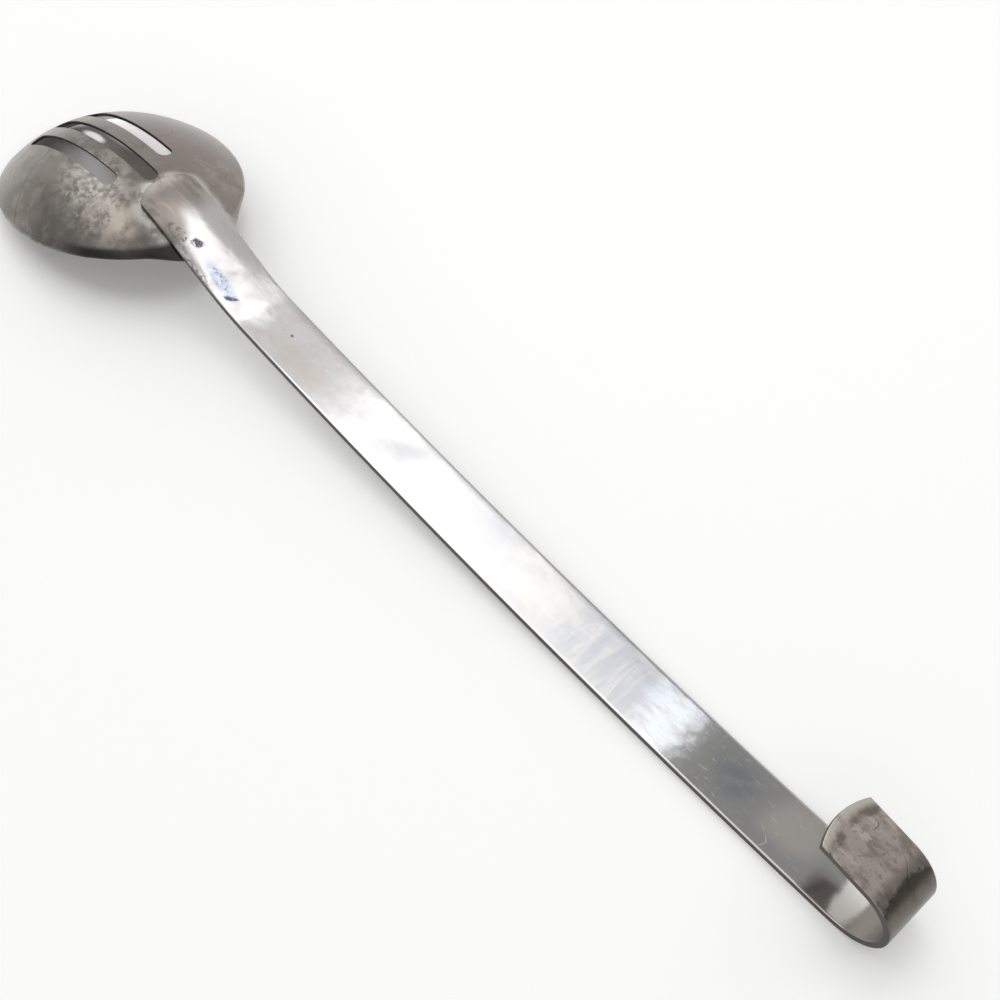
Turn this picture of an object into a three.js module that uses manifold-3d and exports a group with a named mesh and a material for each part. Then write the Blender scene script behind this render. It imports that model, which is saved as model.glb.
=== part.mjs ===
// Slotted serving spoon in stainless steel, lying on a table with the back of its bowl upwards.
// A pressed and pierced bowl is spot-welded under the tongue of a flat strap handle that ends in a hook.
// Millimetres, +Z up, +X from the bowl's tip towards the hook, origin on the table under the middle.
import * as THREE from 'three';
import { mergeVertices } from 'three/addons/utils/BufferGeometryUtils.js';
import Module from 'manifold-3d';

// Bowl: an oval dish whose rim lies in one plane
const bowlLength = 91.3;
const bowlWidth = 70.1;
const bowlDepth = 15.5;
const bowlSheet = 1;
// How far the dish fills out beyond a plain paraboloid
const bowlFullness = 0.17;
// How much wider the plan is towards the tip than towards the handle
const bowlEgg = 0.055;
// How far the ground rim stands out between its two faces
const rimRound = 0.45;
// The heel: the rim runs on under the tongue, over this angle to each side of the handle
const heelLength = 3.3;
const heelSpread = THREE.MathUtils.degToRad(34.5);

// Slots: round-ended, parallel to the handle, reaching from the bowl's middle towards the tip and the handle
const slotWidth = 4.7;
const slotPitch = 9.7;
const slotTipReach = 33;
const middleSlotReach = 23.6;
const outerSlotReach = 16.7;

// Handle strap
const strapWidth = 18;
const strapThickness = 2;
const strapEdgeRadius = 0.35;
// The tongue stops short of the middle slot and leaves the bowl just inside its rim
const tongueSlotMargin = 2.4;
const tongueLift = 3;
// How far the rounded end of the tongue stands beyond its two corners, and how square its round is
const tongueEndRise = 3;
const tongueEndPower = 3.2;
const neckStraight = 20;
const neckRadius = 50;
// Angle of the handle below the plane of the rim where the neck bend ends
const handleDrop = THREE.MathUtils.degToRad(20.2);
const gripLength = 226.5;
const gripBowRadius = 1480;
const hookRadius = 10;
const hookTurn = THREE.MathUtils.degToRad(169.6);
const hookTail = 14.1;
const hookEndRise = 2.3;

// Spot welds between tongue and bowl
const seatGap = 0.3;
const weldDiameter = 5;
const weldSpacing = 8;
// Share of each sheet that the nugget melts into
const weldDepthShare = 0.3;
const weldClearance = 0.3;

// Mesh fineness
const bowlTurns = 72;
const bowlRings = 12;
const rimSteps = 4;
const slotEndSteps = 10;
const strapColumns = 6;
const tongueSteps = 8;
const neckStraightSteps = 5;
const neckBendSteps = 6;
const gripSteps = 20;
const hookSteps = 20;
const tailSteps = 5;
const weldTurns = 20;
const weldSteps = 4;

const wasm = await Module();
wasm.setup();

const solidFrom = (geometry) => {
  const bare = geometry.clone();
  bare.deleteAttribute('normal');
  bare.deleteAttribute('uv');
  const merged = mergeVertices(bare);
  const corners = merged.index.array;
  const triVerts = [];
  for (let i = 0; i < corners.length; i += 3) {
    const [a, b, c] = corners.slice(i, i + 3);
    if (a !== b && b !== c && c !== a) triVerts.push(a, b, c);
  }
  return new wasm.Manifold(new wasm.Mesh({
    numProp: 3,
    vertProperties: merged.attributes.position.array,
    triVerts: new Uint32Array(triVerts),
  }));
};

const geometryFrom = (solid) => {
  const mesh = solid.getMesh();
  const geometry = new THREE.BufferGeometry();
  geometry.setAttribute('position', new THREE.BufferAttribute(mesh.vertProperties, 3));
  geometry.setIndex(new THREE.BufferAttribute(mesh.triVerts, 1));
  geometry.computeVertexNormals();
  return geometry;
};

// The bowl's back, in the rim's own frame: x towards the handle, z out of the back, rim at z = 0
const halfLength = bowlLength / 2;
const halfWidth = bowlWidth / 2;

const backHeight = (x, y) => {
  const along = x / halfLength;
  const across = y / (halfWidth * (1 - bowlEgg * along));
  const square = along * along + across * across;
  return bowlDepth * (1 - square) * (1 + bowlFullness * square);
};

const slopeStep = 0.01;

const backNormal = (x, y) => new THREE.Vector3(
  backHeight(x - slopeStep, y) - backHeight(x + slopeStep, y),
  backHeight(x, y - slopeStep) - backHeight(x, y + slopeStep),
  2 * slopeStep,
).normalize();

// A point over the back at plan position x, y, lifted along the surface's normal
const backPoint = (x, y, lift) => new THREE.Vector3(x, y, backHeight(x, y)).addScaledVector(backNormal(x, y), lift);

// The rim's plan is an oval with a smooth heel, as a share of the oval at an angle from the handle
const rimReach = (angle) => {
  if (Math.abs(angle) > heelSpread) return 1;
  const swell = (1 + Math.cos((Math.PI * angle) / heelSpread)) / 2;
  return 1 + (heelLength / halfLength) * swell;
};

// The dish is spun as a flat disc of sheet with a rounded edge, then pressed to the bowl's back
const pressedBowl = () => {
  const profile = [];
  for (let ring = 0; ring <= bowlRings; ring += 1) {
    profile.push(new THREE.Vector2(ring / bowlRings, -bowlSheet));
  }
  for (let step = 1; step < rimSteps; step += 1) {
    const turn = (Math.PI * step) / rimSteps;
    const lift = -(bowlSheet / 2) * (1 + Math.cos(turn));
    profile.push(new THREE.Vector2(1 + (rimRound / halfLength) * Math.sin(turn), lift));
  }
  for (let ring = bowlRings; ring >= 0; ring -= 1) {
    profile.push(new THREE.Vector2(ring / bowlRings, 0));
  }
  const disc = new THREE.LatheGeometry(profile, bowlTurns);
  const places = disc.attributes.position;
  for (let i = 0; i < places.count; i += 1) {
    const reach = rimReach(Math.atan2(places.getX(i), places.getZ(i)));
    const along = reach * places.getZ(i);
    const across = reach * places.getX(i);
    const x = halfLength * along;
    const y = halfWidth * across * (1 - bowlEgg * along);
    const point = backPoint(x, y, places.getY(i));
    places.setXYZ(i, point.x, point.y, point.z);
  }
  return disc;
};

const slotCutter = (handleReach, y) => {
  const radius = slotWidth / 2;
  const outline = new THREE.Shape();
  outline.absarc(handleReach - radius, 0, radius, -Math.PI / 2, Math.PI / 2);
  outline.absarc(radius - slotTipReach, 0, radius, Math.PI / 2, (3 * Math.PI) / 2);
  const cutter = new THREE.ExtrudeGeometry(outline, {
    depth: bowlDepth + 2 * bowlSheet,
    curveSegments: slotEndSteps,
    bevelEnabled: false,
  });
  return cutter.translate(0, y, -bowlSheet);
};

// Strap section: over the top from the left edge to the right, then back underneath
const strapHalf = strapWidth / 2;

const strapSection = () => {
  const upper = [];
  for (const side of [-1, 1]) {
    const corner = [];
    for (const turn of [0, Math.PI / 4, Math.PI / 2]) {
      const across = strapHalf - strapEdgeRadius * (1 - Math.cos(turn));
      const height = strapThickness - strapEdgeRadius * (1 - Math.sin(turn));
      corner.push([side * across, height]);
    }
    if (side > 0) {
      const flat = 2 * (strapHalf - strapEdgeRadius);
      for (let column = 1; column < strapColumns; column += 1) {
        upper.push([flat * (column / strapColumns - 0.5), strapThickness]);
      }
      corner.reverse();
    }
    upper.push(...corner);
  }
  const lower = upper.map(([across, height]) => [across, strapThickness - height]).reverse();
  return [...upper, ...lower];
};

const section = strapSection();
const ringFrom = (place) => section.map(([across, height]) => place(across, height));

// A closed skin over rings of equal count, each ring's second half lying under its first
const loft = (rings) => {
  const count = section.length;
  const positions = rings.flat().flatMap((point) => point.toArray());
  const index = [];
  const quad = (a, b, c, d) => index.push(a, c, b, a, d, c);
  for (let ring = 0; ring + 1 < rings.length; ring += 1) {
    for (let i = 0; i < count; i += 1) {
      const next = (i + 1) % count;
      const here = ring * count;
      quad(here + i, here + next, here + count + next, here + count + i);
    }
  }
  const last = (rings.length - 1) * count;
  for (let i = 0; i + 1 < count / 2; i += 1) {
    const under = count - 1 - i;
    quad(i, under, under - 1, i + 1);
    quad(last + i, last + i + 1, last + under - 1, last + under);
  }
  const geometry = new THREE.BufferGeometry();
  geometry.setAttribute('position', new THREE.Float32BufferAttribute(positions, 3));
  geometry.setIndex(index);
  return geometry;
};

// Stations run along the middle of the strap's underside, in the x-z plane
const stationsAlong = (start, length, turn, steps) => {
  const stations = [];
  for (let step = 1; step <= steps; step += 1) {
    const share = step / steps;
    const heading = start.heading + turn * share;
    const travel = start.travel + length * share;
    const chord = turn === 0 ? length * share : (2 * length * Math.sin((turn * share) / 2)) / turn;
    const bearing = (start.heading + heading) / 2;
    const x = start.x + chord * Math.cos(bearing);
    const z = start.z + chord * Math.sin(bearing);
    stations.push({ x, z, heading, travel });
  }
  return stations;
};

// A place beside a station: ahead along the strap, across it, and up through its thickness
const besideStation = ({ x, z, heading }, ahead, across, up) => new THREE.Vector3(
  x + ahead * Math.cos(heading) - up * Math.sin(heading),
  across,
  z + ahead * Math.sin(heading) + up * Math.cos(heading),
);

const tongueTip = middleSlotReach + tongueSlotMargin;
const liftX = halfLength - tongueLift;

const strapHandle = () => {
  const rings = [];

  // The tongue hugs the bowl's back, lengthways and crossways
  for (let step = 0; step <= tongueSteps; step += 1) {
    rings.push(ringFrom((across, height) => {
      const roundEnd = tongueTip + tongueEndRise * Math.abs(across / strapHalf) ** tongueEndPower;
      const x = THREE.MathUtils.lerp(roundEnd, liftX, step / tongueSteps);
      return backPoint(x, across, seatGap + height);
    }));
  }

  // It leaves along the bowl's slope, and its crown dies out by the end of the neck bend
  const base = backPoint(liftX, 0, seatGap);
  const slope = backNormal(liftX, 0);
  const liftOff = { x: base.x, z: base.z, heading: -Math.atan2(slope.x, slope.z), travel: 0 };
  const neckTurn = -handleDrop - liftOff.heading;
  const neckBend = neckTurn * (neckRadius + strapThickness);
  const straight = stationsAlong(liftOff, neckStraight, 0, neckStraightSteps);
  const bend = stationsAlong(straight.at(-1), neckBend, neckTurn, neckBendSteps);
  const neckEnd = bend.at(-1);
  const grip = stationsAlong(neckEnd, gripLength, gripLength / gripBowRadius, gripSteps);
  const hookArc = hookTurn * (hookRadius + strapThickness);
  const hook = stationsAlong(grip.at(-1), hookArc, hookTurn, hookSteps);

  for (const station of [...straight, ...bend, ...grip, ...hook]) {
    const crown = 1 - THREE.MathUtils.smoothstep(station.travel, 0, neckEnd.travel);
    rings.push(ringFrom((across, height) => {
      const crowned = backPoint(liftX, across, seatGap + height);
      const flat = besideStation(liftOff, 0, across, height);
      const shift = crowned.sub(flat).multiplyScalar(crown);
      const turned = shift.applyAxisAngle(new THREE.Vector3(0, -1, 0), station.heading - liftOff.heading);
      return besideStation(station, 0, across, height).add(turned);
    }));
  }

  // The hook's free end is cut to an arc
  const hookEnd = hook.at(-1);
  for (let step = 1; step <= tailSteps; step += 1) {
    rings.push(ringFrom((across, height) => {
      const reach = hookTail + hookEndRise * (1 - (across / strapHalf) ** 2);
      return besideStation(hookEnd, (reach * step) / tailSteps, across, height);
    }));
  }
  return loft(rings);
};

// Weld nugget: a lens across the seat, deeper in the thicker sheet
const weldLens = (x, margin) => {
  const intoHandle = seatGap / 2 + weldDepthShare * strapThickness + margin;
  const intoBowl = seatGap / 2 + weldDepthShare * bowlSheet + margin;
  const profile = [];
  for (let step = -weldSteps; step <= weldSteps; step += 1) {
    const turn = (Math.PI / 2) * (step / weldSteps);
    const depth = step < 0 ? intoBowl : intoHandle;
    const radius = Math.abs(step) === weldSteps ? 0 : (weldDiameter / 2 + margin) * Math.cos(turn);
    profile.push(new THREE.Vector2(radius, depth * Math.sin(turn)));
  }
  const lens = new THREE.LatheGeometry(profile, weldTurns);
  const lean = new THREE.Quaternion().setFromUnitVectors(new THREE.Vector3(0, 1, 0), backNormal(x, 0));
  lens.applyQuaternion(lean);
  const seat = backPoint(x, 0, seatGap / 2);
  return lens.translate(seat.x, seat.y, seat.z);
};

// The welds stand evenly about the middle of the seat
const seatMiddle = (tongueTip + liftX) / 2;
const weldPlaces = {
  spot_weld_front: seatMiddle - weldSpacing / 2,
  spot_weld_rear: seatMiddle + weldSpacing / 2,
};

let bowlSolid = solidFrom(pressedBowl());
const slots = [[middleSlotReach, 0], [outerSlotReach, slotPitch], [outerSlotReach, -slotPitch]];
for (const [reach, y] of slots) {
  bowlSolid = bowlSolid.subtract(solidFrom(slotCutter(reach, y)));
}
let handleSolid = solidFrom(strapHandle());
for (const x of Object.values(weldPlaces)) {
  const pocket = solidFrom(weldLens(x, weldClearance));
  bowlSolid = bowlSolid.subtract(pocket);
  handleSolid = handleSolid.subtract(pocket);
}

const satinSteel = new THREE.MeshStandardMaterial({ color: 0x9a968f, roughness: 0.42, metalness: 1 });
const polishedSteel = new THREE.MeshStandardMaterial({ color: 0xc9cacb, roughness: 0.16, metalness: 1 });
const weldSteel = new THREE.MeshStandardMaterial({ color: 0x8b8781, roughness: 0.55, metalness: 1 });

const named = (name, geometry, material) => {
  const mesh = new THREE.Mesh(geometry, material);
  mesh.name = name;
  return mesh;
};

const bowl = named('bowl', geometryFrom(bowlSolid), satinSteel);
const handle = named('handle', geometryFrom(handleSolid), polishedSteel);
const spoon = new THREE.Group();
spoon.add(bowl, handle);
for (const [name, x] of Object.entries(weldPlaces)) {
  spoon.add(named(name, geometryFrom(solidFrom(weldLens(x, 0))), weldSteel.clone()));
}

// On the table the spoon stands on the bowl's tip and on the belly of the bowed grip
const cornersOf = (mesh) => {
  const places = mesh.geometry.attributes.position;
  return Array.from({ length: places.count }, (_, i) => new THREE.Vector3().fromBufferAttribute(places, i));
};
const bowlCorners = cornersOf(bowl);
const handleCorners = cornersOf(handle);
let tilt = 0;
const settlingRounds = 4;
for (let round = 0; round < settlingRounds; round += 1) {
  const height = (corner) => corner.z * Math.cos(tilt) - corner.x * Math.sin(tilt);
  const foot = bowlCorners.reduce((low, corner) => (height(corner) < height(low) ? corner : low));
  const rises = handleCorners.map((corner) => Math.atan2(corner.z - foot.z, corner.x - foot.x));
  tilt = rises.reduce((low, rise) => Math.min(low, rise));
}
spoon.rotation.y = tilt;
spoon.updateMatrixWorld(true);
const box = new THREE.Box3().setFromObject(spoon, true);
const middle = box.getCenter(new THREE.Vector3());
spoon.position.set(-middle.x, -middle.y, -box.min.z);

const servingSpoon = new THREE.Group();
servingSpoon.add(spoon);

export default servingSpoon;
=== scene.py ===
import math
import bmesh
import bpy
from mathutils import Matrix, Vector


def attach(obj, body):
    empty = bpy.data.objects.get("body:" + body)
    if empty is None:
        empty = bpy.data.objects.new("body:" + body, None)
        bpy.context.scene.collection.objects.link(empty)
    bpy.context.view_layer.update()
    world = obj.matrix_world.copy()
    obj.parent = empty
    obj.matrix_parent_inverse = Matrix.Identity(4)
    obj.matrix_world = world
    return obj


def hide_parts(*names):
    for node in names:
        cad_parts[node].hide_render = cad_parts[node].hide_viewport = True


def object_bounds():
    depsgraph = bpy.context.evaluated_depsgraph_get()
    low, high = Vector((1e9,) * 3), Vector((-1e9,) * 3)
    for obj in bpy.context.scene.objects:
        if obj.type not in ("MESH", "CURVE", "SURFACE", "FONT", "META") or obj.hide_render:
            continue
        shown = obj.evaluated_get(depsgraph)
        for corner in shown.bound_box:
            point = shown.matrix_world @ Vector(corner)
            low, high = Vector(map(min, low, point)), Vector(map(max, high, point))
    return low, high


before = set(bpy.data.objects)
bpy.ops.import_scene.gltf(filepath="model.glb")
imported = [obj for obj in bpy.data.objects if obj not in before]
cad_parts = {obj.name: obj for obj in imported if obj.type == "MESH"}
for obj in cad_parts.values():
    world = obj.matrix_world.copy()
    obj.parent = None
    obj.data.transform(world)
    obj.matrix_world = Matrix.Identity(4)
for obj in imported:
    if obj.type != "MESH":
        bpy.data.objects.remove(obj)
cadBox = [list(corner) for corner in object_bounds()]
print("frame loaded with", ", ".join(sorted(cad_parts)))

mm = 0.001  # the spoon is drawn in millimetres and put into the scene in metres

# The pressed dish in its own frame: x towards the handle, z out of its back, the rim at z = 0
dish = {
    "length": 91.3,
    "width": 70.1,
    "depth": 15.5,
    "sheet": 1.0,
    "fullness": 0.17,  # how far it fills out beyond a paraboloid
    "egg": 0.055,  # how much wider it is towards the tip
    "heelLength": 3.3,
    "heelSpread": math.radians(34.5),
    "shoulderLift": 0.6,  # the rim is turned up a little on both sides of the strap
    "shoulderRim": (0.92, 1),  # the lift starts and is full at these shares of the way to the rim,
    "shoulderSide": (8, 18),  # this far to the side
    "shoulderAlong": (7, 34),  # and this far towards the handle
    "rimOver": 0.39,  # the ground rim stands out past the oval by this much
    "rimRound": 0.4,
    "slotRound": 0.16,
    "roundSteps": 3,
    "rings": 18,  # rings of faces between the slotted middle and the rim
}
slots = {
    "width": 4.7,
    "pitch": 9.7,
    "tipReach": 33.0,
    "middleReach": 23.6,
    "outerReach": 16.7,
    "endColumns": 10,  # columns of faces across one slot, set out round its end
    "webColumns": 7,
    "sideColumns": 5,
    "side": 4.5,  # how far the slotted middle runs past the outer slots
    "tipRows": 5,
    "slotRows": 54,
    "heelRows": 4,
    "tipMargin": 4.5,
    "heelMargin": 3.5,
}
slotRadius = slots["width"] / 2
slotReach = {-1: slots["outerReach"], 0: slots["middleReach"], 1: slots["outerReach"]}
sharpAngle = math.radians(60)  # edges that turn more than this are rounded off
nearby = 0.1  # points this close count as level with each other or as on a slot's edge


def blend(a, b, share):
    return a + (b - a) * share


def ease(start, end, value):
    share = min(max((value - start) / (end - start), 0), 1)
    return share * share * (3 - 2 * share)


def ovalPlace(x, y):
    # Shares of the dish's half length and half width, which is larger towards the tip
    along = 2 * x / dish["length"]
    return along, 2 * y / (dish["width"] * (1 - dish["egg"] * along))


def rimReach(x, y):
    # 0 in the middle of the dish, 1 on its oval
    return math.hypot(*ovalPlace(x, y))


def backHeight(x, y):
    along, across = ovalPlace(x, y)
    square = along * along + across * across
    return dish["depth"] * (1 - square) * (1 + dish["fullness"] * square)


def backNormal(x, y):
    step = 0.01  # for the slopes
    downX = backHeight(x - step, y) - backHeight(x + step, y)
    downY = backHeight(x, y - step) - backHeight(x, y + step)
    return Vector((downX, downY, 2 * step)).normalized()


def backPoint(x, y, lift):
    return Vector((x, y, backHeight(x, y))) + lift * backNormal(x, y)


def rimPoint(angle):
    reach = 1 + 2 * dish["rimOver"] / dish["length"]
    if abs(angle) < dish["heelSpread"]:
        swell = (1 + math.cos(math.pi * angle / dish["heelSpread"])) / 2
        reach += 2 * dish["heelLength"] / dish["length"] * swell
    along = reach * math.cos(angle)
    across = reach * math.sin(angle) * (1 - dish["egg"] * along)
    return Vector((along * dish["length"] / 2, across * dish["width"] / 2, 0))


def shoulderAt(x, y):
    # How far the rim is turned up here
    beside = ease(*dish["shoulderRim"], rimReach(x, y)) * ease(*dish["shoulderSide"], abs(y))
    return dish["shoulderLift"] * (beside * ease(*dish["shoulderAlong"], x))


def slotLines():
    # Lengthways lines of the slotted middle: (y, tip end of slot, handle end of slot, slot number)
    lines = []
    for number, reach in slotReach.items():
        ends = []
        for step in range(slots["endColumns"] + 1):
            turn = math.pi * step / slots["endColumns"]
            bulge = slotRadius * math.sin(turn) - slotRadius
            y = slots["pitch"] * number - slotRadius * math.cos(turn)
            ends.append((y, -slots["tipReach"] - bulge, reach + bulge, number))
        if lines:
            last, first = lines[-1], ends[0]
            for step in range(1, slots["webColumns"]):
                share = step / slots["webColumns"]
                lines.append((*[blend(last[k], first[k], share) for k in range(3)], None))
        lines += ends
    for edge, way in ((lines[0], -1), (lines[-1], 1)):
        for step in range(1, slots["sideColumns"] + 1):
            line = (edge[0] + way * slots["side"] * step / slots["sideColumns"], edge[1], edge[2], None)
            lines.insert(0 if way < 0 else len(lines), line)
    return lines


def slotDistance(x, y):
    # Distance in the sheet from the nearest slot's edge
    nearest = dish["length"]
    for number, reach in slotReach.items():
        nearX = min(max(x, slotRadius - slots["tipReach"]), reach - slotRadius)
        nearest = min(nearest, math.hypot(x - nearX, y - slots["pitch"] * number) - slotRadius)
    return max(nearest, 0)


def sharpEdges(bm):
    return [e for e in bm.edges if e.is_manifold and e.calc_face_angle() > sharpAngle]


def thicken(bm, thickness, top):
    # Gives a flat blank its thickness, with its upper face at height top
    bmesh.ops.recalc_face_normals(bm, faces=bm.faces[:])
    if bm.faces[:][0].normal.z < 0:
        bmesh.ops.reverse_faces(bm, faces=bm.faces[:])
    bmesh.ops.solidify(bm, geom=bm.faces[:], thickness=thickness)
    highest = max(v.co.z for v in bm.verts)
    bmesh.ops.translate(bm, verts=bm.verts[:], vec=(0, 0, top - highest))
    bmesh.ops.recalc_face_normals(bm, faces=bm.faces[:])


def roundOff(bm, edges, offset, steps):
    bmesh.ops.bevel(bm, geom=edges, offset=offset, offset_type="OFFSET", affect="EDGES",
                    segments=steps, profile=0.5, material=-1)


def bowlBlank():
    lines = slotLines()
    columns = len(lines) - 1
    rowRuns = (slots["tipRows"], slots["slotRows"], slots["heelRows"])
    rows = sum(rowRuns)
    tipX = -slots["tipReach"] - slots["tipMargin"]
    heelX = slots["middleReach"] + slots["heelMargin"]
    bm = bmesh.new()
    bmesh.ops.create_grid(bm, x_segments=rows, y_segments=columns, size=1)
    place = {}
    for v in bm.verts:
        place[v] = (round((v.co.x + 1) / 2 * rows), round((v.co.y + 1) / 2 * columns))
    for v, (row, column) in place.items():
        y, tipEnd, heelEnd = lines[column][:3]
        stops = (tipX, tipEnd, heelEnd, heelX)
        run = 0
        while run < len(rowRuns) - 1 and row > rowRuns[run]:
            row -= rowRuns[run]
            run += 1
        v.co = (blend(stops[run], stops[run + 1], row / rowRuns[run]), y, 0)

    def pierced(face):
        row = min(place[v][0] for v in face.verts)
        column = min(place[v][1] for v in face.verts)
        same = lines[column][3] is not None and lines[column][3] == lines[column + 1][3]
        return same and slots["tipRows"] <= row < slots["tipRows"] + slots["slotRows"]

    outer = [e for e in bm.edges if e.is_boundary]
    bmesh.ops.delete(bm, geom=[f for f in bm.faces if pierced(f)], context="FACES")

    # The middle is drawn out to the rim, and the band between is cut into rings
    drawn = bmesh.ops.extrude_edge_only(bm, edges=outer)["geom"]
    rim = {v for v in drawn if isinstance(v, bmesh.types.BMVert)}
    for v in rim:
        along, across = ovalPlace(v.co.x, v.co.y)
        v.co = rimPoint(math.atan2(across, along))
    spokes = [e for e in bm.edges if (e.verts[0] in rim) != (e.verts[1] in rim)]
    bmesh.ops.subdivide_edges(bm, edges=spokes, cuts=dish["rings"] - 1, use_grid_fill=True)
    return bm


def makeBowl():
    bm = bowlBlank()
    thicken(bm, dish["sheet"], 0)
    sharp = sharpEdges(bm)
    slotEdges = [e for e in sharp if all(slotDistance(v.co.x, v.co.y) < nearby for v in e.verts)]
    onSlots = set(slotEdges)
    rimEdges = [e for e in sharp if e not in onSlots]
    roundOff(bm, rimEdges, dish["rimRound"], dish["roundSteps"])
    slotEdges = [e for e in slotEdges if e.is_valid]
    roundOff(bm, slotEdges, dish["slotRound"], dish["roundSteps"])

    # Each point keeps its place on the blank, its share of the way to the rim,
    # and its distance from the tongue and the slots
    plan = bm.loops.layers.uv.new("plan")
    rimShare = bm.verts.layers.float.new("rimShare")
    slotGap = bm.verts.layers.float.new("slotGap")
    tongueGap = bm.verts.layers.float.new("tongueGap")
    for face in bm.faces:
        face.smooth = True
        for loop in face.loops:
            loop[plan].uv = loop.vert.co.xy * mm
    for v in bm.verts:
        x, y, lift = v.co
        v[rimShare] = rimReach(x, y)
        v[slotGap] = slotDistance(x, y)
        v[tongueGap] = math.hypot(max(tongueTip(y) - x, 0), max(abs(y) - half, 0))
        v.co = backPoint(x, y, lift)
        v.co.z += shoulderAt(x, y)
    return bm


# The strap: a tongue that hugs the dish, a neck, a gently bowed grip and a hook
strap = {
    "width": 18.0,
    "thickness": 2.0,
    "edgeRound": 0.35,
    "roundSteps": 3,
    "columns": 20,
    "seatGap": 0.3,
    "tongueMargin": 2.4,  # between the middle slot and the tongue
    "tongueLift": 3.0,  # the tongue leaves the dish this far inside its rim
    "tongueRise": 3.0,
    "tonguePower": 3.2,
    "neckStraight": 20.0,
    "neckRadius": 50.0,
    "drop": math.radians(20.2),
    "grip": 226.5,
    "bowRadius": 1480.0,
    "hookRadius": 10.0,
    "hookTurn": math.radians(169.6),
    "leadLength": 6.0,  # the grip eases into the hook
    "leadTurn": math.radians(9),
    "tail": 14.1,
    "tailRise": 2.3,
    "rowStep": {"tongue": 1.0, "straight": 1.2, "bend": 0.9, "grip": 2.5, "lead": 0.8, "hook": 0.6,
                "tail": 1.2},
}
half = strap["width"] / 2
tongueStart = slots["middleReach"] + strap["tongueMargin"]
liftX = dish["length"] / 2 - strap["tongueLift"]
tongueLength = liftX - tongueStart
liftBase = backPoint(liftX, 0, strap["seatGap"])
liftNormal = backNormal(liftX, 0)
liftHeading = -math.atan2(liftNormal.x, liftNormal.z)
neckTurn = -strap["drop"] - liftHeading
hookOuter = strap["hookRadius"] + strap["thickness"]
arcTurn = strap["hookTurn"] - strap["leadTurn"]
gripLength = strap["grip"] - strap["leadLength"] + hookOuter * math.sin(strap["leadTurn"])
runs = {
    "straight": (strap["neckStraight"], 0),
    "bend": (neckTurn * (strap["neckRadius"] + strap["thickness"]), neckTurn),
    "grip": (gripLength, gripLength / strap["bowRadius"]),
    "lead": (strap["leadLength"], strap["leadTurn"]),
    "hook": (arcTurn * hookOuter, arcTurn),
    "tail": (strap["tail"] + strap["tailRise"], 0),
}
neckLength = runs["straight"][0] + runs["bend"][0]
gripStart = tongueLength + neckLength
hookStart = gripStart + gripLength + strap["leadLength"]
tailStart = hookStart + runs["hook"][0]


def edgeShare(across):
    # 0 in the middle of the strap, 1 on its edges
    return min(abs(across) / half, 1)


def tongueTip(across):
    return tongueStart + strap["tongueRise"] * edgeShare(across) ** strap["tonguePower"]


def tailTip(across):
    return tailStart + strap["tail"] + strap["tailRise"] * (1 - edgeShare(across) ** 2)


def stationAt(travel):
    # Place and heading of the strap's underside, this far past the lift-off
    x, z, heading = liftBase.x, liftBase.z, liftHeading
    for length, turn in runs.values():
        here = min(travel, length)
        angle = turn * here / length
        chord = here if angle == 0 else 2 * here / angle * math.sin(angle / 2)
        x += chord * math.cos(heading + angle / 2)
        z += chord * math.sin(heading + angle / 2)
        heading += angle
        travel -= here
        if travel <= 0:
            break
    return x, z, heading


def besideStation(station, across, up):
    x, z, heading = station
    return Vector((x - up * math.sin(heading), across, z + up * math.cos(heading)))


def strapPoint(along, across, height):
    if along <= tongueLength:
        return backPoint(tongueStart + along, across, strap["seatGap"] + height)
    travel = along - tongueLength
    station = stationAt(travel)
    flat = besideStation(station, across, height)
    crown = 1 - ease(0, neckLength, travel)  # the tongue's crown dies out over the neck
    if crown == 0:
        return flat
    shift = backPoint(liftX, across, strap["seatGap"] + height)
    shift -= besideStation((liftBase.x, liftBase.z, liftHeading), across, height)
    return flat + Matrix.Rotation(liftHeading - station[2], 3, "Y") @ (shift * crown)


def handleBlank():
    # Rows of the flat blank, as (start, end, share), with the two shaped ends stretched to their outlines
    spans = [("tongue", None, tongueLength)]
    at = tongueLength
    for name in ("straight", "bend", "grip", "lead", "hook"):
        spans.append((name, at, at + runs[name][0]))
        at += runs[name][0]
    spans.append(("tail", at, None))
    rowPlaces = []
    for name, start, end in spans:
        length = (at + strap["tail"] if end is None else end) - (start or 0)
        steps = math.ceil(length / strap["rowStep"][name])
        rowPlaces += [(start, end, step / steps) for step in range(steps)]
    rowPlaces.append((at, None, 1))
    rows = len(rowPlaces) - 1

    bm = bmesh.new()
    bmesh.ops.create_grid(bm, x_segments=rows, y_segments=strap["columns"], size=1)
    for v in bm.verts:
        start, end, share = rowPlaces[round((v.co.x + 1) / 2 * rows)]
        across = v.co.y * half
        first = tongueTip(across) - tongueStart if start is None else start
        last = tailTip(across) if end is None else end
        v.co = (blend(first, last, share), across, 0)
    return bm


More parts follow.
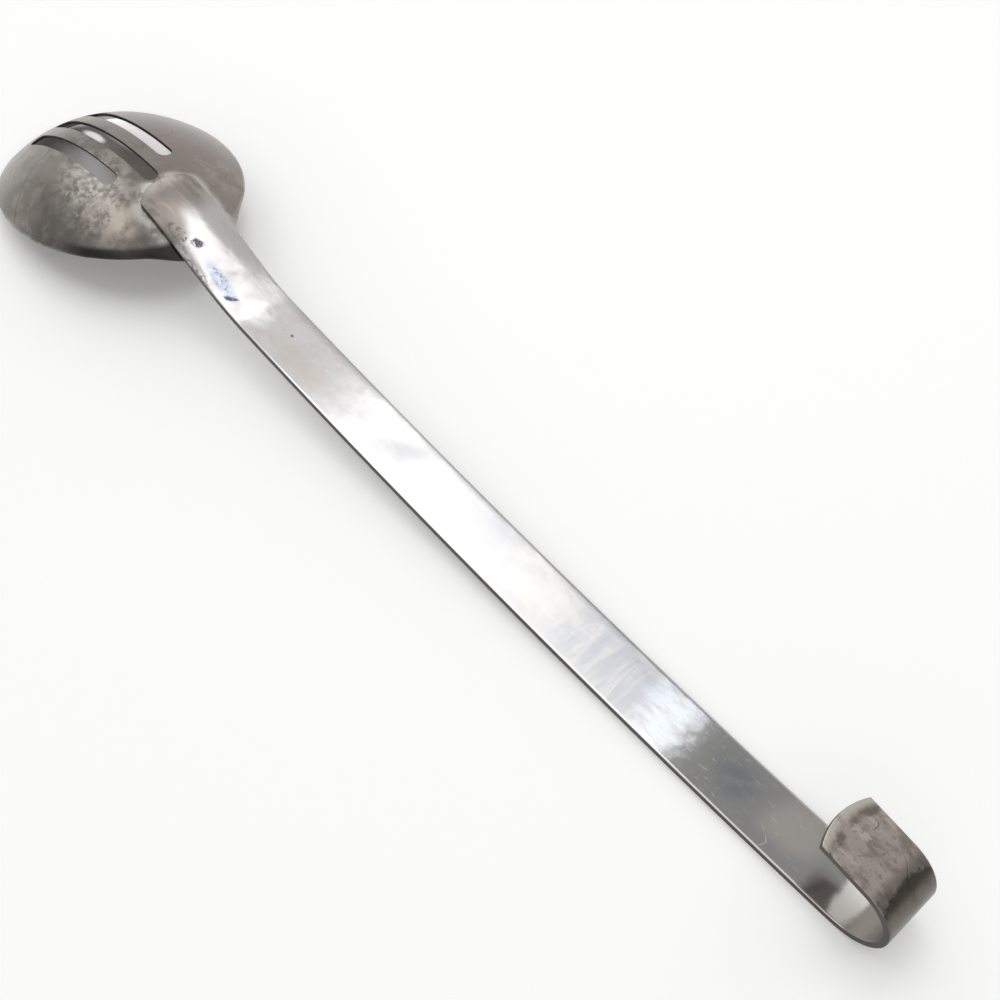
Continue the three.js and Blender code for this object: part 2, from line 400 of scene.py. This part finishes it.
def makeHandle():
    bm = handleBlank()
    thicken(bm, strap["thickness"], strap["thickness"])
    flatEdges = [e for e in sharpEdges(bm) if abs(e.verts[0].co.z - e.verts[1].co.z) < nearby]
    roundOff(bm, flatEdges, strap["edgeRound"], strap["roundSteps"])

    # Each point keeps its place along and across the blank, and its distance from the cut edge
    blank = bm.loops.layers.uv.new("blank")
    edgeGap = bm.verts.layers.float.new("edgeGap")
    tailGap = bm.verts.layers.float.new("tailGap")
    facing = bm.verts.layers.float.new("facing")
    for face in bm.faces:
        face.smooth = True
        for loop in face.loops:
            loop[blank].uv = loop.vert.co.xy * mm
    for v in bm.verts:
        along, across, height = v.co
        v[tailGap] = tailTip(across) - along
        v[facing] = height / strap["thickness"]  # 0 under the grip, 1 on top of it
        tongueEdge = along - tongueTip(across) + tongueStart
        v[edgeGap] = max(min(half - abs(across), tongueEdge, v[tailGap]), 0)
        v.co = strapPoint(along, across, height)
    return bm


# The spoon lies on the table on the bowl's tip and the belly of the grip
lieAngle = math.radians(-12.9455)
shapes = {"servingBowl": makeBowl(), "strapHandle": makeHandle()}
lie = Matrix.Rotation(lieAngle, 3, "Y")
corners = []
for bm in shapes.values():
    bmesh.ops.rotate(bm, verts=bm.verts[:], cent=(0, 0, 0), matrix=lie)
    bmesh.ops.scale(bm, verts=bm.verts[:], vec=(mm, mm, mm))
    corners += [v.co for v in bm.verts]
# They are centred in the CAD box and set down on the table
low = Vector([min(c[k] for c in corners) for k in range(3)])
high = Vector([max(c[k] for c in corners) for k in range(3)])
cadLow, cadHigh = Vector(cadBox[0]), Vector(cadBox[1])
shift = (cadLow + cadHigh - low - high) / 2
shift.z = cadLow.z - low.z


def addPiece(name, bm, cadNode):
    mesh = bpy.data.meshes.new(name)
    bm.to_mesh(mesh)
    bm.free()
    piece = bpy.data.objects.new(name, mesh)
    bpy.context.scene.collection.objects.link(piece)
    piece.modifiers.new("even shading", "WEIGHTED_NORMAL")
    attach(piece, "root")
    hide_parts(cadNode)
    print(name, "has", len(mesh.polygons), "faces")
    return piece


for bm in shapes.values():
    bmesh.ops.translate(bm, verts=bm.verts[:], vec=shift)
bowl = addPiece("servingBowl", shapes["servingBowl"], "bowl")
handle = addPiece("strapHandle", shapes["strapHandle"], "handle")


def linear(hexColour):
    # From a colour as a screen shows it to linear light
    channels = [int(hexColour[k:k + 2], 16) / 255 for k in (1, 3, 5)]
    return [c / 12.92 if c <= 0.04045 else ((c + 0.055) / 1.055) ** 2.4 for c in channels] + [1]


def addNode(tree, kind, inputs, output=None, **settings):
    # Sets or links the node's inputs and gives back the output asked for, or the first one in use
    made = tree.nodes.new("ShaderNode" + kind)
    for name, value in settings.items():
        setattr(made, name, value)
    for socket, value in inputs.items():
        if isinstance(value, bpy.types.NodeSocket):
            tree.links.new(value, made.inputs[socket])
        else:
            made.inputs[socket].default_value = value
    if output is None:
        return next((socket for socket in made.outputs if socket.enabled), None)
    return made.outputs[output]


def newMaterial(name):
    material = bpy.data.materials.new(name)
    material.use_nodes = True
    material.node_tree.nodes.clear()
    return material, material.node_tree


def cloudsOf(tree, coords, sizes, stride=7.3, grain=0.6):
    # Cloudy patterns by name: millimetres along and across, detail, swirl. A stride keeps them from
    # running alike
    clouds = {}
    for name, (along, across, detail, swirl) in sizes.items():
        stretch = (1 / (along * mm), 1 / (across * mm), 1 / (across * mm))
        apart = [stride * len(clouds)] * 3
        placed = addNode(tree, "Mapping", {"Vector": coords, "Location": apart, "Scale": stretch})
        clouds[name] = addNode(tree, "TexNoise", {"Vector": placed, "Scale": 1.0, "Detail": detail,
                                                  "Roughness": grain, "Distortion": swirl})
    return clouds


def ovalsOf(tree, coords, places, fray=0, detail=5.0):
    # Distances from the middle of named ovals, 1 on the outline: x, y, half length, half width, turn.
    # The outlines are frayed by so many millimetres
    if fray:
        grain = {"Vector": coords, "Scale": 1 / (2 * fray * mm), "Detail": detail}
        jitter = addNode(tree, "TexNoise", grain, "Color")
        coords = addNode(tree, "VectorMath", {0: jitter, 1: [fray * mm] * 3, 2: coords},
                         operation="MULTIPLY_ADD")
    ovals = {}
    for name, (x, y, halfLength, halfWidth, turn) in places.items():
        middle = ((x + fray / 2) * mm, (y + fray / 2) * mm, fray / 2 * mm)
        reach = (halfLength * mm, halfWidth * mm, 1)
        placed = addNode(tree, "Mapping", {"Vector": coords, "Location": middle, "Scale": reach,
                                           "Rotation": (0, 0, math.radians(turn))}, vector_type="TEXTURE")
        ovals[name] = addNode(tree, "VectorMath", {0: placed}, "Value", operation="LENGTH")
    return ovals


def placesOf(tree, blank):
    # Millimetres along and across a flat blank
    scaled = addNode(tree, "VectorMath", {0: blank, "Scale": 1 / mm}, operation="SCALE")
    return [addNode(tree, "SeparateXYZ", {0: scaled}, axis) for axis in ("X", "Y")]


def whereAll(tree, limits, share=1.0):
    # Shows where every pattern is past its limits, each given as (pattern, none of it, all of it)
    for pattern, start, full in limits:
        share = addNode(tree, "MapRange", {0: pattern, 1: start, 2: full, 4: share},
                        interpolation_type="SMOOTHSTEP")
    return share


def layOver(tree, colour, rough, layers):
    # Lays stains and wear over the bare steel, each with its colour, roughness, share and limits
    for hexColour, roughness, share, *limits in layers:
        mask = whereAll(tree, limits, share)
        colour = addNode(tree, "Mix", {0: mask, 6: colour, 7: linear(hexColour)}, data_type="RGBA")
        rough = addNode(tree, "Mix", {0: mask, 2: rough, 3: roughness})
    return colour, rough


def closeMetal(tree, colour, rough, heights):
    # Heights are in millimetres, laid one over the other
    shading = {"Base Color": colour, "Metallic": 1.0, "Roughness": rough}
    for pattern, size in heights:
        relief = {"Height": pattern, "Distance": size * mm, "Strength": 1.0}
        if "Normal" in shading:
            relief["Normal"] = shading["Normal"]
        shading["Normal"] = addNode(tree, "Bump", relief)
    addNode(tree, "OutputMaterial", {"Surface": addNode(tree, "BsdfPrincipled", shading)})


# Satin stainless sheet: tumbled after pressing, so it gives back the room as soft warm-grey clouds;
# washing has left chalky scale beside the tongue and a dull film with few scratches elsewhere
bowlFinish = {
    "steel": "#86807a",
    "roughness": (0.18, 0.3),
    "clouds": {"film": (17, 17, 5, 0.2), "blot": (5, 5, 7, 0.2), "crust": (1.6, 1.6, 6, 0),
               "grit": (0.9, 0.9, 3, 0), "press": (9, 9, 2, 0), "hair": (22, 22, 1, 0.4),
               "breaks": (16, 16, 1, 0)},
    "ovals": {"scale": (13, -15, 17, 10, -15), "warm": (24, -18, 9, 6, 20), "ring": (14, -14, 29, 29, 0),
              "tide": (-8, -27, 14, 6, 25), "rightHaze": (28, 20, 9, 7, 0)},
    "fray": 1.6,
}


def satinStainless():
    material, tree = newMaterial("satinStainless")
    coords = addNode(tree, "TexCoord", {}, "Object")
    plan = addNode(tree, "UVMap", {}, uv_map="plan")
    rimShare = addNode(tree, "Attribute", {}, "Fac", attribute_name="rimShare")
    slotGap = addNode(tree, "Attribute", {}, "Fac", attribute_name="slotGap")
    tongueGap = addNode(tree, "Attribute", {}, "Fac", attribute_name="tongueGap")
    along, across = placesOf(tree, plan)
    cloud = cloudsOf(tree, coords, bowlFinish["clouds"])
    oval = ovalsOf(tree, plan, bowlFinish["ovals"], bowlFinish["fray"])
    ringLine = [(oval["ring"], 0.985, 1.0), (oval["ring"], 1.015, 1.0)]
    hairLine = [(cloud["hair"], 0.494, 0.5), (cloud["hair"], 0.506, 0.5), (cloud["breaks"], 0.52, 0.6)]
    leftHalf = (across, 4, -6)
    scratch = whereAll(tree, hairLine)
    smoothest, roughest = bowlFinish["roughness"]
    bare = addNode(tree, "MapRange", {0: cloud["grit"], 3: smoothest, 4: roughest})
    colour, rough = layOver(tree, linear(bowlFinish["steel"]), bare, [
        # Film and hazes
        ("#6f6963", 0.3, 1.0, (cloud["film"], 0.6, 0.36)),
        ("#877e79", 0.27, 0.8, (across, -2, 12)),
        ("#9c9690", 0.34, 0.6, (oval["rightHaze"], 1.3, 0.5), (cloud["blot"], 0.4, 0.6)),
        ("#a39e97", 0.3, 0.4, leftHalf, (cloud["blot"], 0.5, 0.62)),
        ("#5f5a53", 0.3, 0.55, (oval["tide"], 1.3, 0.7), (cloud["blot"], 0.42, 0.58)),
        # Scale and stains round the tongue, a lighter band about it, a painted warm highlight beside it, and
        # painted shadow along its edge
        ("#b2aca5", 0.32, 0.75, (oval["scale"], 1.4, 0.5), (cloud["blot"], 0.32, 0.66)),
        ("#d3cfc9", 0.45, 0.85, (oval["scale"], 1.25, 0.3), (cloud["crust"], 0.43, 0.66)),
        # painted warm highlight beside the tongue
        ("#b9afa2", 0.28, 0.7, (oval["warm"], 1.3, 0.4), (cloud["blot"], 0.34, 0.6)),
        ("#bfbbb6", 0.26, 0.8, (tongueGap, 4.4, 1.4), (cloud["blot"], 0.36, 0.56)),
        # painted contact shadow where the tongue meets the dish
        ("#4d4844", 0.5, 0.8, (tongueGap, 0.5, 0.05)),
        # A ring left by water, scratches, the worn rim, a painted dark reflection along the lip by the heel,
        # and painted shade on the slots' walls
        ("#5e5852", 0.4, 0.55, leftHalf, (cloud["film"], 0.4, 0.5), *ringLine),
        ("#645e58", 0.4, 0.45, (scratch, 0.0, 1.0)),
        ("#a8a49f", 0.2, 0.7, (rimShare, 0.985, 1.0), (cloud["blot"], 0.35, 0.6)),
        # painted dark reflection along the lip by the heel
        ("#332f2e", 0.24, 0.94, leftHalf, (rimShare, 0.915, 0.965), (along, 10, 25)),
        # painted shade on the slots' walls
        ("#4b4744", 0.5, 1.0, (slotGap, 0.1, 0.03)),
    ])
    closeMetal(tree, colour, rough, [(cloud["press"], 0.03), (cloud["crust"], 0.004), (cloud["grit"], 0.002),
                                     (scratch, -0.004)])
    return material


# Polished stainless strip: near-mirror bright, so it takes the softbox as a broad white band that breaks up
# at its ends; hands and drawers have hazed the grip and rubbed the hook dull, and the sheared sides carry
# painted shade
handleFinish = {
    "steel": "#b1afad",
    "roughness": (0.06, 0.13),
    "clouds": {"film": (26, 14, 4, 0.4), "blot": (6, 4, 6, 0.2), "streak": (9, 2.5, 5, 0.4),
               "wave": (12, 8, 2, 0), "ripple": (1.7, 1.3, 4, 0.5), "pits": (0.9, 0.9, 4, 0),
               "hair": (14, 10, 1, 0.5), "breaks": (12, 9, 1, 0), "dents": (6, 5, 1.5, 0.3),
               "lines": (45, 0.45, 2, 0),  # polishing lines, drawn coarse enough to show
               "dashes": (3, 0.3, 0, 0), "bands": (3, 18, 4, 0.6)},
    "ovals": {"oxide": (34.3, -4.7, 7.5, 1.9, -4), "oxideEnd": (39.9, -5.5, 2.1, 0.55, 42),
              "burn": (20.5, -3.4, 1.7, 1.1, 30), "pitted": (15.5, -6.8, 4.5, 2.4, 0),
              "tongueSide": (12, -7, 5.5, 5, 0), "dot": (60.6, 1, 0.6, 0.5, 0),
              "hookGlint": (276.5, 0, 3.8, 14, 0)},
    "fray": 1.8,
    "smears": {"warmStart": (71, -3.5, 15, 4.5, 0), "smudge": (110, 1.5, 9, 3.4, 42),
               "edgeSmudge": (148, 8, 7, 2.8, 10), "coolHaze": (196, 0, 22, 12, 0),
               "darkReflection": (237, 1, 7, 6, 0), "warmEnd": (256, 2, 11, 9, 0), "heelMark": (270, -3.5, 5, 4, 0),
               "neckEnd": (48.4, -2.6, 4.8, 4.4, 0), "blueGlint": (215, 0, 11, 22, 0)},
    "smearFray": 6,
    "ragged": {"tongue": 5.0, "tail": 3.5},  # how far the borders of their finishes wander
}


def polishedStainless():
    material, tree = newMaterial("polishedStainless")
    blank = addNode(tree, "UVMap", {}, uv_map="blank")
    edgeGap = addNode(tree, "Attribute", {}, "Fac", attribute_name="edgeGap")
    tailGap = addNode(tree, "Attribute", {}, "Fac", attribute_name="tailGap")
    facing = addNode(tree, "Attribute", {}, "Fac", attribute_name="facing")
    along, across = placesOf(tree, blank)
    cloud = cloudsOf(tree, blank, handleFinish["clouds"])
    oval = ovalsOf(tree, blank, handleFinish["ovals"], handleFinish["fray"])
    smear = ovalsOf(tree, blank, handleFinish["smears"], handleFinish["smearFray"])
    hairLine = [(cloud["hair"], 0.49, 0.5), (cloud["hair"], 0.51, 0.5), (cloud["breaks"], 0.5, 0.58)]
    ragged = handleFinish["ragged"]
    raggedAlong = addNode(tree, "Math", {0: cloud["blot"], 1: ragged["tongue"], 2: along},
                          operation="MULTIPLY_ADD")
    raggedTail = addNode(tree, "Math", {0: cloud["ripple"], 1: ragged["tail"], 2: tailGap},
                         operation="MULTIPLY_ADD")
    onTongue = (raggedAlong, 18, 10)
    onHook = (along, hookStart + 1, hookStart + 5)
    onTail = (raggedTail, 22.4, 21.4)
    outside = (facing, 0.6, 0.4)
    inside = (facing, 0.4, 0.6)
    hair = whereAll(tree, [onHook, outside, *hairLine])
    curl = whereAll(tree, [(along, 222, 232), (along, 276, 264), inside, *hairLine,
                           (cloud["blot"], 0.5, 0.56)])
    dash = whereAll(tree, [(cloud["dashes"], 0.74, 0.8), (along, 50, 70), (along, 285, 280)])
    dent = whereAll(tree, [(cloud["dents"], 0.25, 0.75), (along, 64, 50), (along, 6, 18)])
    smoothest, roughest = handleFinish["roughness"]
    bare = addNode(tree, "MapRange", {0: cloud["film"], 3: smoothest, 4: roughest})
    colour, rough = layOver(tree, linear(handleFinish["steel"]), bare, [
        # Film, with painted shade along the right edge
        ("#abaaab", 0.12, 1.0, (cloud["film"], 0.42, 0.62)),
        ("#9b9693", 0.2, 0.5, (along, 100, 80), (cloud["blot"], 0.44, 0.7)),
        ("#8d8d90", 0.2, 0.6, (across, 6.4, 8.8), (cloud["film"], 0.4, 0.56)),
        ("#8a8886", 0.16, 0.7, (across, 5.6, 8.6), (along, 100, 75)),
        ("#a39b94", 0.16, 0.6, (smear["warmStart"], 1.4, 0.3)),
        # Neck and tongue
        ("#b2b0af", 0.13, 1.0, (along, 58, 40)),
        ("#7c756f", 0.24, 0.95, onTongue),
        ("#7c756f", 0.24, 0.9, (oval["tongueSide"], 1.3, 0.7)),
        ("#9d9791", 0.22, 0.4, onTongue, (cloud["streak"], 0.48, 0.62)),
        ("#aea8a2", 0.22, 0.75, onTongue, (edgeGap, 4.5, 0.8), (cloud["blot"], 0.3, 0.56)),
        ("#a9a7a6", 0.26, 0.8, (along, 52, 46), (along, 14, 20), (across, -1, 5),
         (cloud["streak"], 0.36, 0.6)),
        # Smudges, haze and a clearer stretch on the grip, painted highlights near its end and at the neck's
        # end, and a painted dark reflection before the hook
        ("#898c91", 0.2, 0.42, (smear["smudge"], 1.6, 0.1), (cloud["blot"], 0.15, 0.5)),
        ("#9094a0", 0.2, 0.42, (smear["edgeSmudge"], 1.6, 0.1), (cloud["blot"], 0.2, 0.5)),
        ("#b0afae", 0.06, 1.0, (along, 200, 210), (along, 264, 248)),
        ("#90949c", 0.07, 0.72, (smear["coolHaze"], 1.25, 0.4), (cloud["bands"], 0.28, 0.68)),
        # painted bluish highlight near the grip's end
        ("#c0c6cd", 0.06, 0.7, (smear["blueGlint"], 1.2, 0.3), (cloud["streak"], 0.3, 0.62)),
        # painted highlight at the neck's end
        ("#d2d0ce", 0.16, 0.8, (smear["neckEnd"], 1.3, 0.5), (cloud["streak"], 0.3, 0.5)),
        # painted dark reflection on the grip before the hook
        ("#8b8f94", 0.1, 0.7, (smear["darkReflection"], 1.5, 0.3), (cloud["blot"], 0.3, 0.6)),
        ("#b4afa9", 0.2, 0.8, (smear["warmEnd"], 1.2, 0.4)),
        ("#918c90", 0.14, 0.5, (smear["heelMark"], 1.2, 0.6)),
        # Heat marks, pits and grime on the neck, and one dark dot
        ("#98a1ae", 0.16, 0.9, (oval["oxide"], 1.4, 0.6), (cloud["ripple"], 0.34, 0.5)),
        ("#6f7c91", 0.22, 0.8, (oval["oxide"], 1.2, 0.6), (cloud["pits"], 0.5, 0.6)),
        ("#3a4156", 0.3, 0.9, (oval["oxideEnd"], 1.5, 0.7), (cloud["pits"], 0.26, 0.46)),
        ("#35344a", 0.3, 0.9, (oval["burn"], 1.5, 0.8), (cloud["pits"], 0.4, 0.5)),
        ("#6d6762", 0.45, 0.8, (oval["pitted"], 1.2, 0.7), (cloud["pits"], 0.5, 0.58)),
        ("#6a6665", 0.35, 0.75, (across, -6.2, -8.4), (along, 12, 20), (along, 37, 28),
         (cloud["ripple"], 0.42, 0.58)),
        ("#55504c", 0.4, 0.8, (oval["dot"], 1.2, 0.8)),
        # Hook and tail
        ("#8f8881", 0.4, 0.9, (along, hookStart - 4, hookStart + 1), inside),
        # painted highlight inside the hook
        ("#e9e6e2", 0.46, 0.88, inside, (oval["hookGlint"], 1.3, 0.6)),
        ("#6b655e", 0.3, 1.0, onHook, outside),
        ("#585149", 0.34, 0.6, onHook, outside, (cloud["blot"], 0.5, 0.66)),
        ("#9e958d", 0.36, 1.0, outside, onTail),
        ("#79716a", 0.4, 0.8, outside, onTail, (cloud["blot"], 0.46, 0.62)),
        ("#bbb3aa", 0.34, 0.6, outside, onTail, (cloud["streak"], 0.5, 0.66)),
        ("#6a635c", 0.44, 0.5, outside, onTail, (cloud["ripple"], 0.43, 0.34)),
        ("#6b645d", 0.42, 0.75, (tailGap, 5.0, 3.9), (tailGap, 2.0, 3.1), (cloud["blot"], 0.42, 0.56)),
        ("#bdb6ae", 0.3, 0.8, (tailGap, 2.6, 0.9), (cloud["blot"], 0.32, 0.52)),
        # Scratches, the rubbed left edge with a painted highlight along it, and painted shade on the sheared
        # sides
        ("#544e48", 0.4, 0.85, (hair, 0.0, 1.0)),
        ("#d3d2d0", 0.2, 0.28, (dash, 0.0, 1.0)),
        ("#d6d4d1", 0.34, 0.4, (curl, 0.0, 1.0)),
        # rubbed left edge, with a painted highlight along it
        ("#e6e5e3", 0.16, 0.8, (across, -6, -8), (edgeGap, 0.7, 0.5), (along, 40, 80), (along, 283, 272)),
        # painted shade on the sheared sides
        ("#5a5754", 0.5, 1.0, (edgeGap, 0.12, 0.04)),
    ])
    closeMetal(tree, colour, rough, [(cloud["wave"], 0.03), (dent, 0.03), (cloud["ripple"], 0.0025),
                                     (cloud["lines"], 0.0005), (hair, -0.004), (dash, -0.002)])
    return material


# Spot weld: once-molten steel, dull, pitted and faintly straw-coloured
weldFinish = {"steel": "#7c756c", "roughness": 0.5, "clouds": {"skin": (1.5, 1.5, 5, 0)}}


def bareWeld():
    material, tree = newMaterial("bareWeld")
    cloud = cloudsOf(tree, addNode(tree, "TexCoord", {}, "Object"), weldFinish["clouds"])
    colour, rough = layOver(tree, linear(weldFinish["steel"]), weldFinish["roughness"], [
        ("#978e78", 0.62, 1.0, (cloud["skin"], 0.4, 0.6)),
    ])
    closeMetal(tree, colour, rough, [(cloud["skin"], 0.05)])
    return material


bowl.data.materials.append(satinStainless())
handle.data.materials.append(polishedStainless())
weldSteel = bareWeld()
for name in ("spot_weld_front", "spot_weld_rear"):
    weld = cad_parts[name]
    weld.data.materials.clear()
    weld.data.materials.append(weldSteel)
print("finishes made")

# The studio: a white table in a pale room with darker and brighter stretches, and a softbox above
# the far side
studio = {
    "table": 12.0,
    "tableColour": "#fdfdfc",
    # Under the bowl the table carries a painted warm shade
    "tableShade": {"oval": (-143, 16, 28, 17, 0), "none": 1.0, "full": 0.35, "colour": "#bdb4af"},
    # It glows for the camera and in reflections: not under the bowl, more far off, and again behind the
    # right and the middle slot
    "tableGlow": [
        {"oval": (-135, 0, 44, 34, 0), "none": 0.88, "full": 1.1, "level": 0.12},
        {"oval": (0, 0, 1000, 1000, 0), "none": 0.3, "full": 1.0, "level": 0.16},
        {"oval": (-157, 22, 15, 4.6, 13.5), "none": 1.4, "full": 0.6, "level": 0.55},
        {"oval": (-168, 11.3, 4, 1.6, 14.5), "none": 1.4, "full": 0.6, "level": 0.6},
    ],
    "backdrop": 1.0,  # what the camera sees behind the table
    "room": 0.95,
    "patches": [
        {"towards": (0.85, 0.3, 0.42), "wide": 24, "soft": 18, "level": 0.26},
        {"towards": (-0.36, -0.36, 0.86), "wide": 5, "soft": 9, "level": 1.5},
        {"towards": (0.06, -0.34, 0.94), "wide": 7, "soft": 8, "level": 0.4},
        {"towards": (-0.12, 0.43, 0.89), "wide": 4, "soft": 4, "level": 0.5},
        {"towards": (-0.5, -0.75, 0.42), "wide": 18, "soft": 20, "level": 0.5},
        {"towards": (-0.46, 0.36, 0.81), "wide": 8, "soft": 8, "level": 1.35},
    ],
    "softbox": {"place": (-0.1215, 0.18, 0.6), "size": (0.247, 0.28), "level": 1.45},
    "camera": {"place": (0.17729, -0.16293, 0.33057), "turn": (35.006, -4.479, 46.948), "lens": 51.95,
               "sensor": 36},
}


def ovalShare(tree, coords, patch, most=1.0):
    distance = ovalsOf(tree, coords, {"patch": patch["oval"]})["patch"]
    return whereAll(tree, [(distance, patch["none"], patch["full"])], most)


def makeTable():
    bm = bmesh.new()
    bmesh.ops.create_grid(bm, x_segments=1, y_segments=1, size=studio["table"])
    mesh = bpy.data.meshes.new("table")
    bm.to_mesh(mesh)
    bm.free()
    table = bpy.data.objects.new("table", mesh)
    bpy.context.scene.collection.objects.link(table)
    material, tree = newMaterial("whiteTable")
    coords = addNode(tree, "TexCoord", {}, "Object")
    shade = studio["tableShade"]
    under = ovalShare(tree, coords, shade)
    colour = addNode(tree, "Mix", {0: under, 6: linear(studio["tableColour"]), 7: linear(shade["colour"])},
                     data_type="RGBA")
    matte = addNode(tree, "BsdfDiffuse", {"Color": colour})
    seen = 0.0
    for ray in ("Is Camera Ray", "Is Glossy Ray", "Is Transmission Ray"):
        seen = addNode(tree, "Math", {0: addNode(tree, "LightPath", {}, ray), 1: seen}, operation="MAXIMUM")
    strength = 0.0
    for glow in studio["tableGlow"]:
        share = ovalShare(tree, coords, glow, glow["level"])
        strength = addNode(tree, "Math", {0: share, 1: strength}, operation="ADD")
    strength = addNode(tree, "Math", {0: seen, 1: strength}, operation="MULTIPLY")
    lit = addNode(tree, "Emission", {"Strength": strength})
    addNode(tree, "OutputMaterial", {"Surface": addNode(tree, "AddShader", {0: matte, 1: lit})})
    mesh.materials.append(material)


def makeRoom():
    world = bpy.data.worlds.new("paleRoom")
    world.use_nodes = True
    tree = world.node_tree
    tree.nodes.clear()
    gaze = addNode(tree, "TexCoord", {}, "Generated")
    light = studio["room"]
    for patch in studio["patches"]:
        towards = Vector(patch["towards"]).normalized()
        facing = addNode(tree, "VectorMath", {0: gaze, 1: towards}, "Value", operation="DOT_PRODUCT")
        outer = math.cos(math.radians(patch["wide"] + patch["soft"]))
        inner = math.cos(math.radians(patch["wide"]))
        mask = whereAll(tree, [(facing, outer, inner)])
        light = addNode(tree, "Mix", {0: mask, 2: light, 3: patch["level"]})
    seen = addNode(tree, "LightPath", {}, "Is Camera Ray")
    light = addNode(tree, "Mix", {0: seen, 2: light, 3: studio["backdrop"]})
    back = addNode(tree, "Background", {"Color": (1, 1, 1, 1), "Strength": light})
    addNode(tree, "OutputWorld", {"Surface": back})
    bpy.context.scene.world = world


def makeSoftbox():
    box = studio["softbox"]
    lamp = bpy.data.lights.new("softbox", "AREA")
    lamp.shape = "RECTANGLE"
    lamp.size, lamp.size_y = box["size"]
    lamp.energy = box["level"] * math.pi * lamp.size * lamp.size_y
    light = bpy.data.objects.new("softbox", lamp)
    light.location = box["place"]
    light.visible_camera = False
    bpy.context.scene.collection.objects.link(light)


def makeCamera():
    view = bpy.data.cameras.new("photoCamera")
    view.lens = studio["camera"]["lens"]
    view.sensor_width = studio["camera"]["sensor"]
    camera = bpy.data.objects.new("photoCamera", view)
    camera.location = studio["camera"]["place"]
    camera.rotation_euler = [math.radians(angle) for angle in studio["camera"]["turn"]]
    bpy.context.scene.collection.objects.link(camera)
    bpy.context.scene.camera = camera


makeTable()
makeRoom()
makeSoftbox()
makeCamera()
bpy.context.scene.view_settings.view_transform = "Standard"
print("studio and camera set")
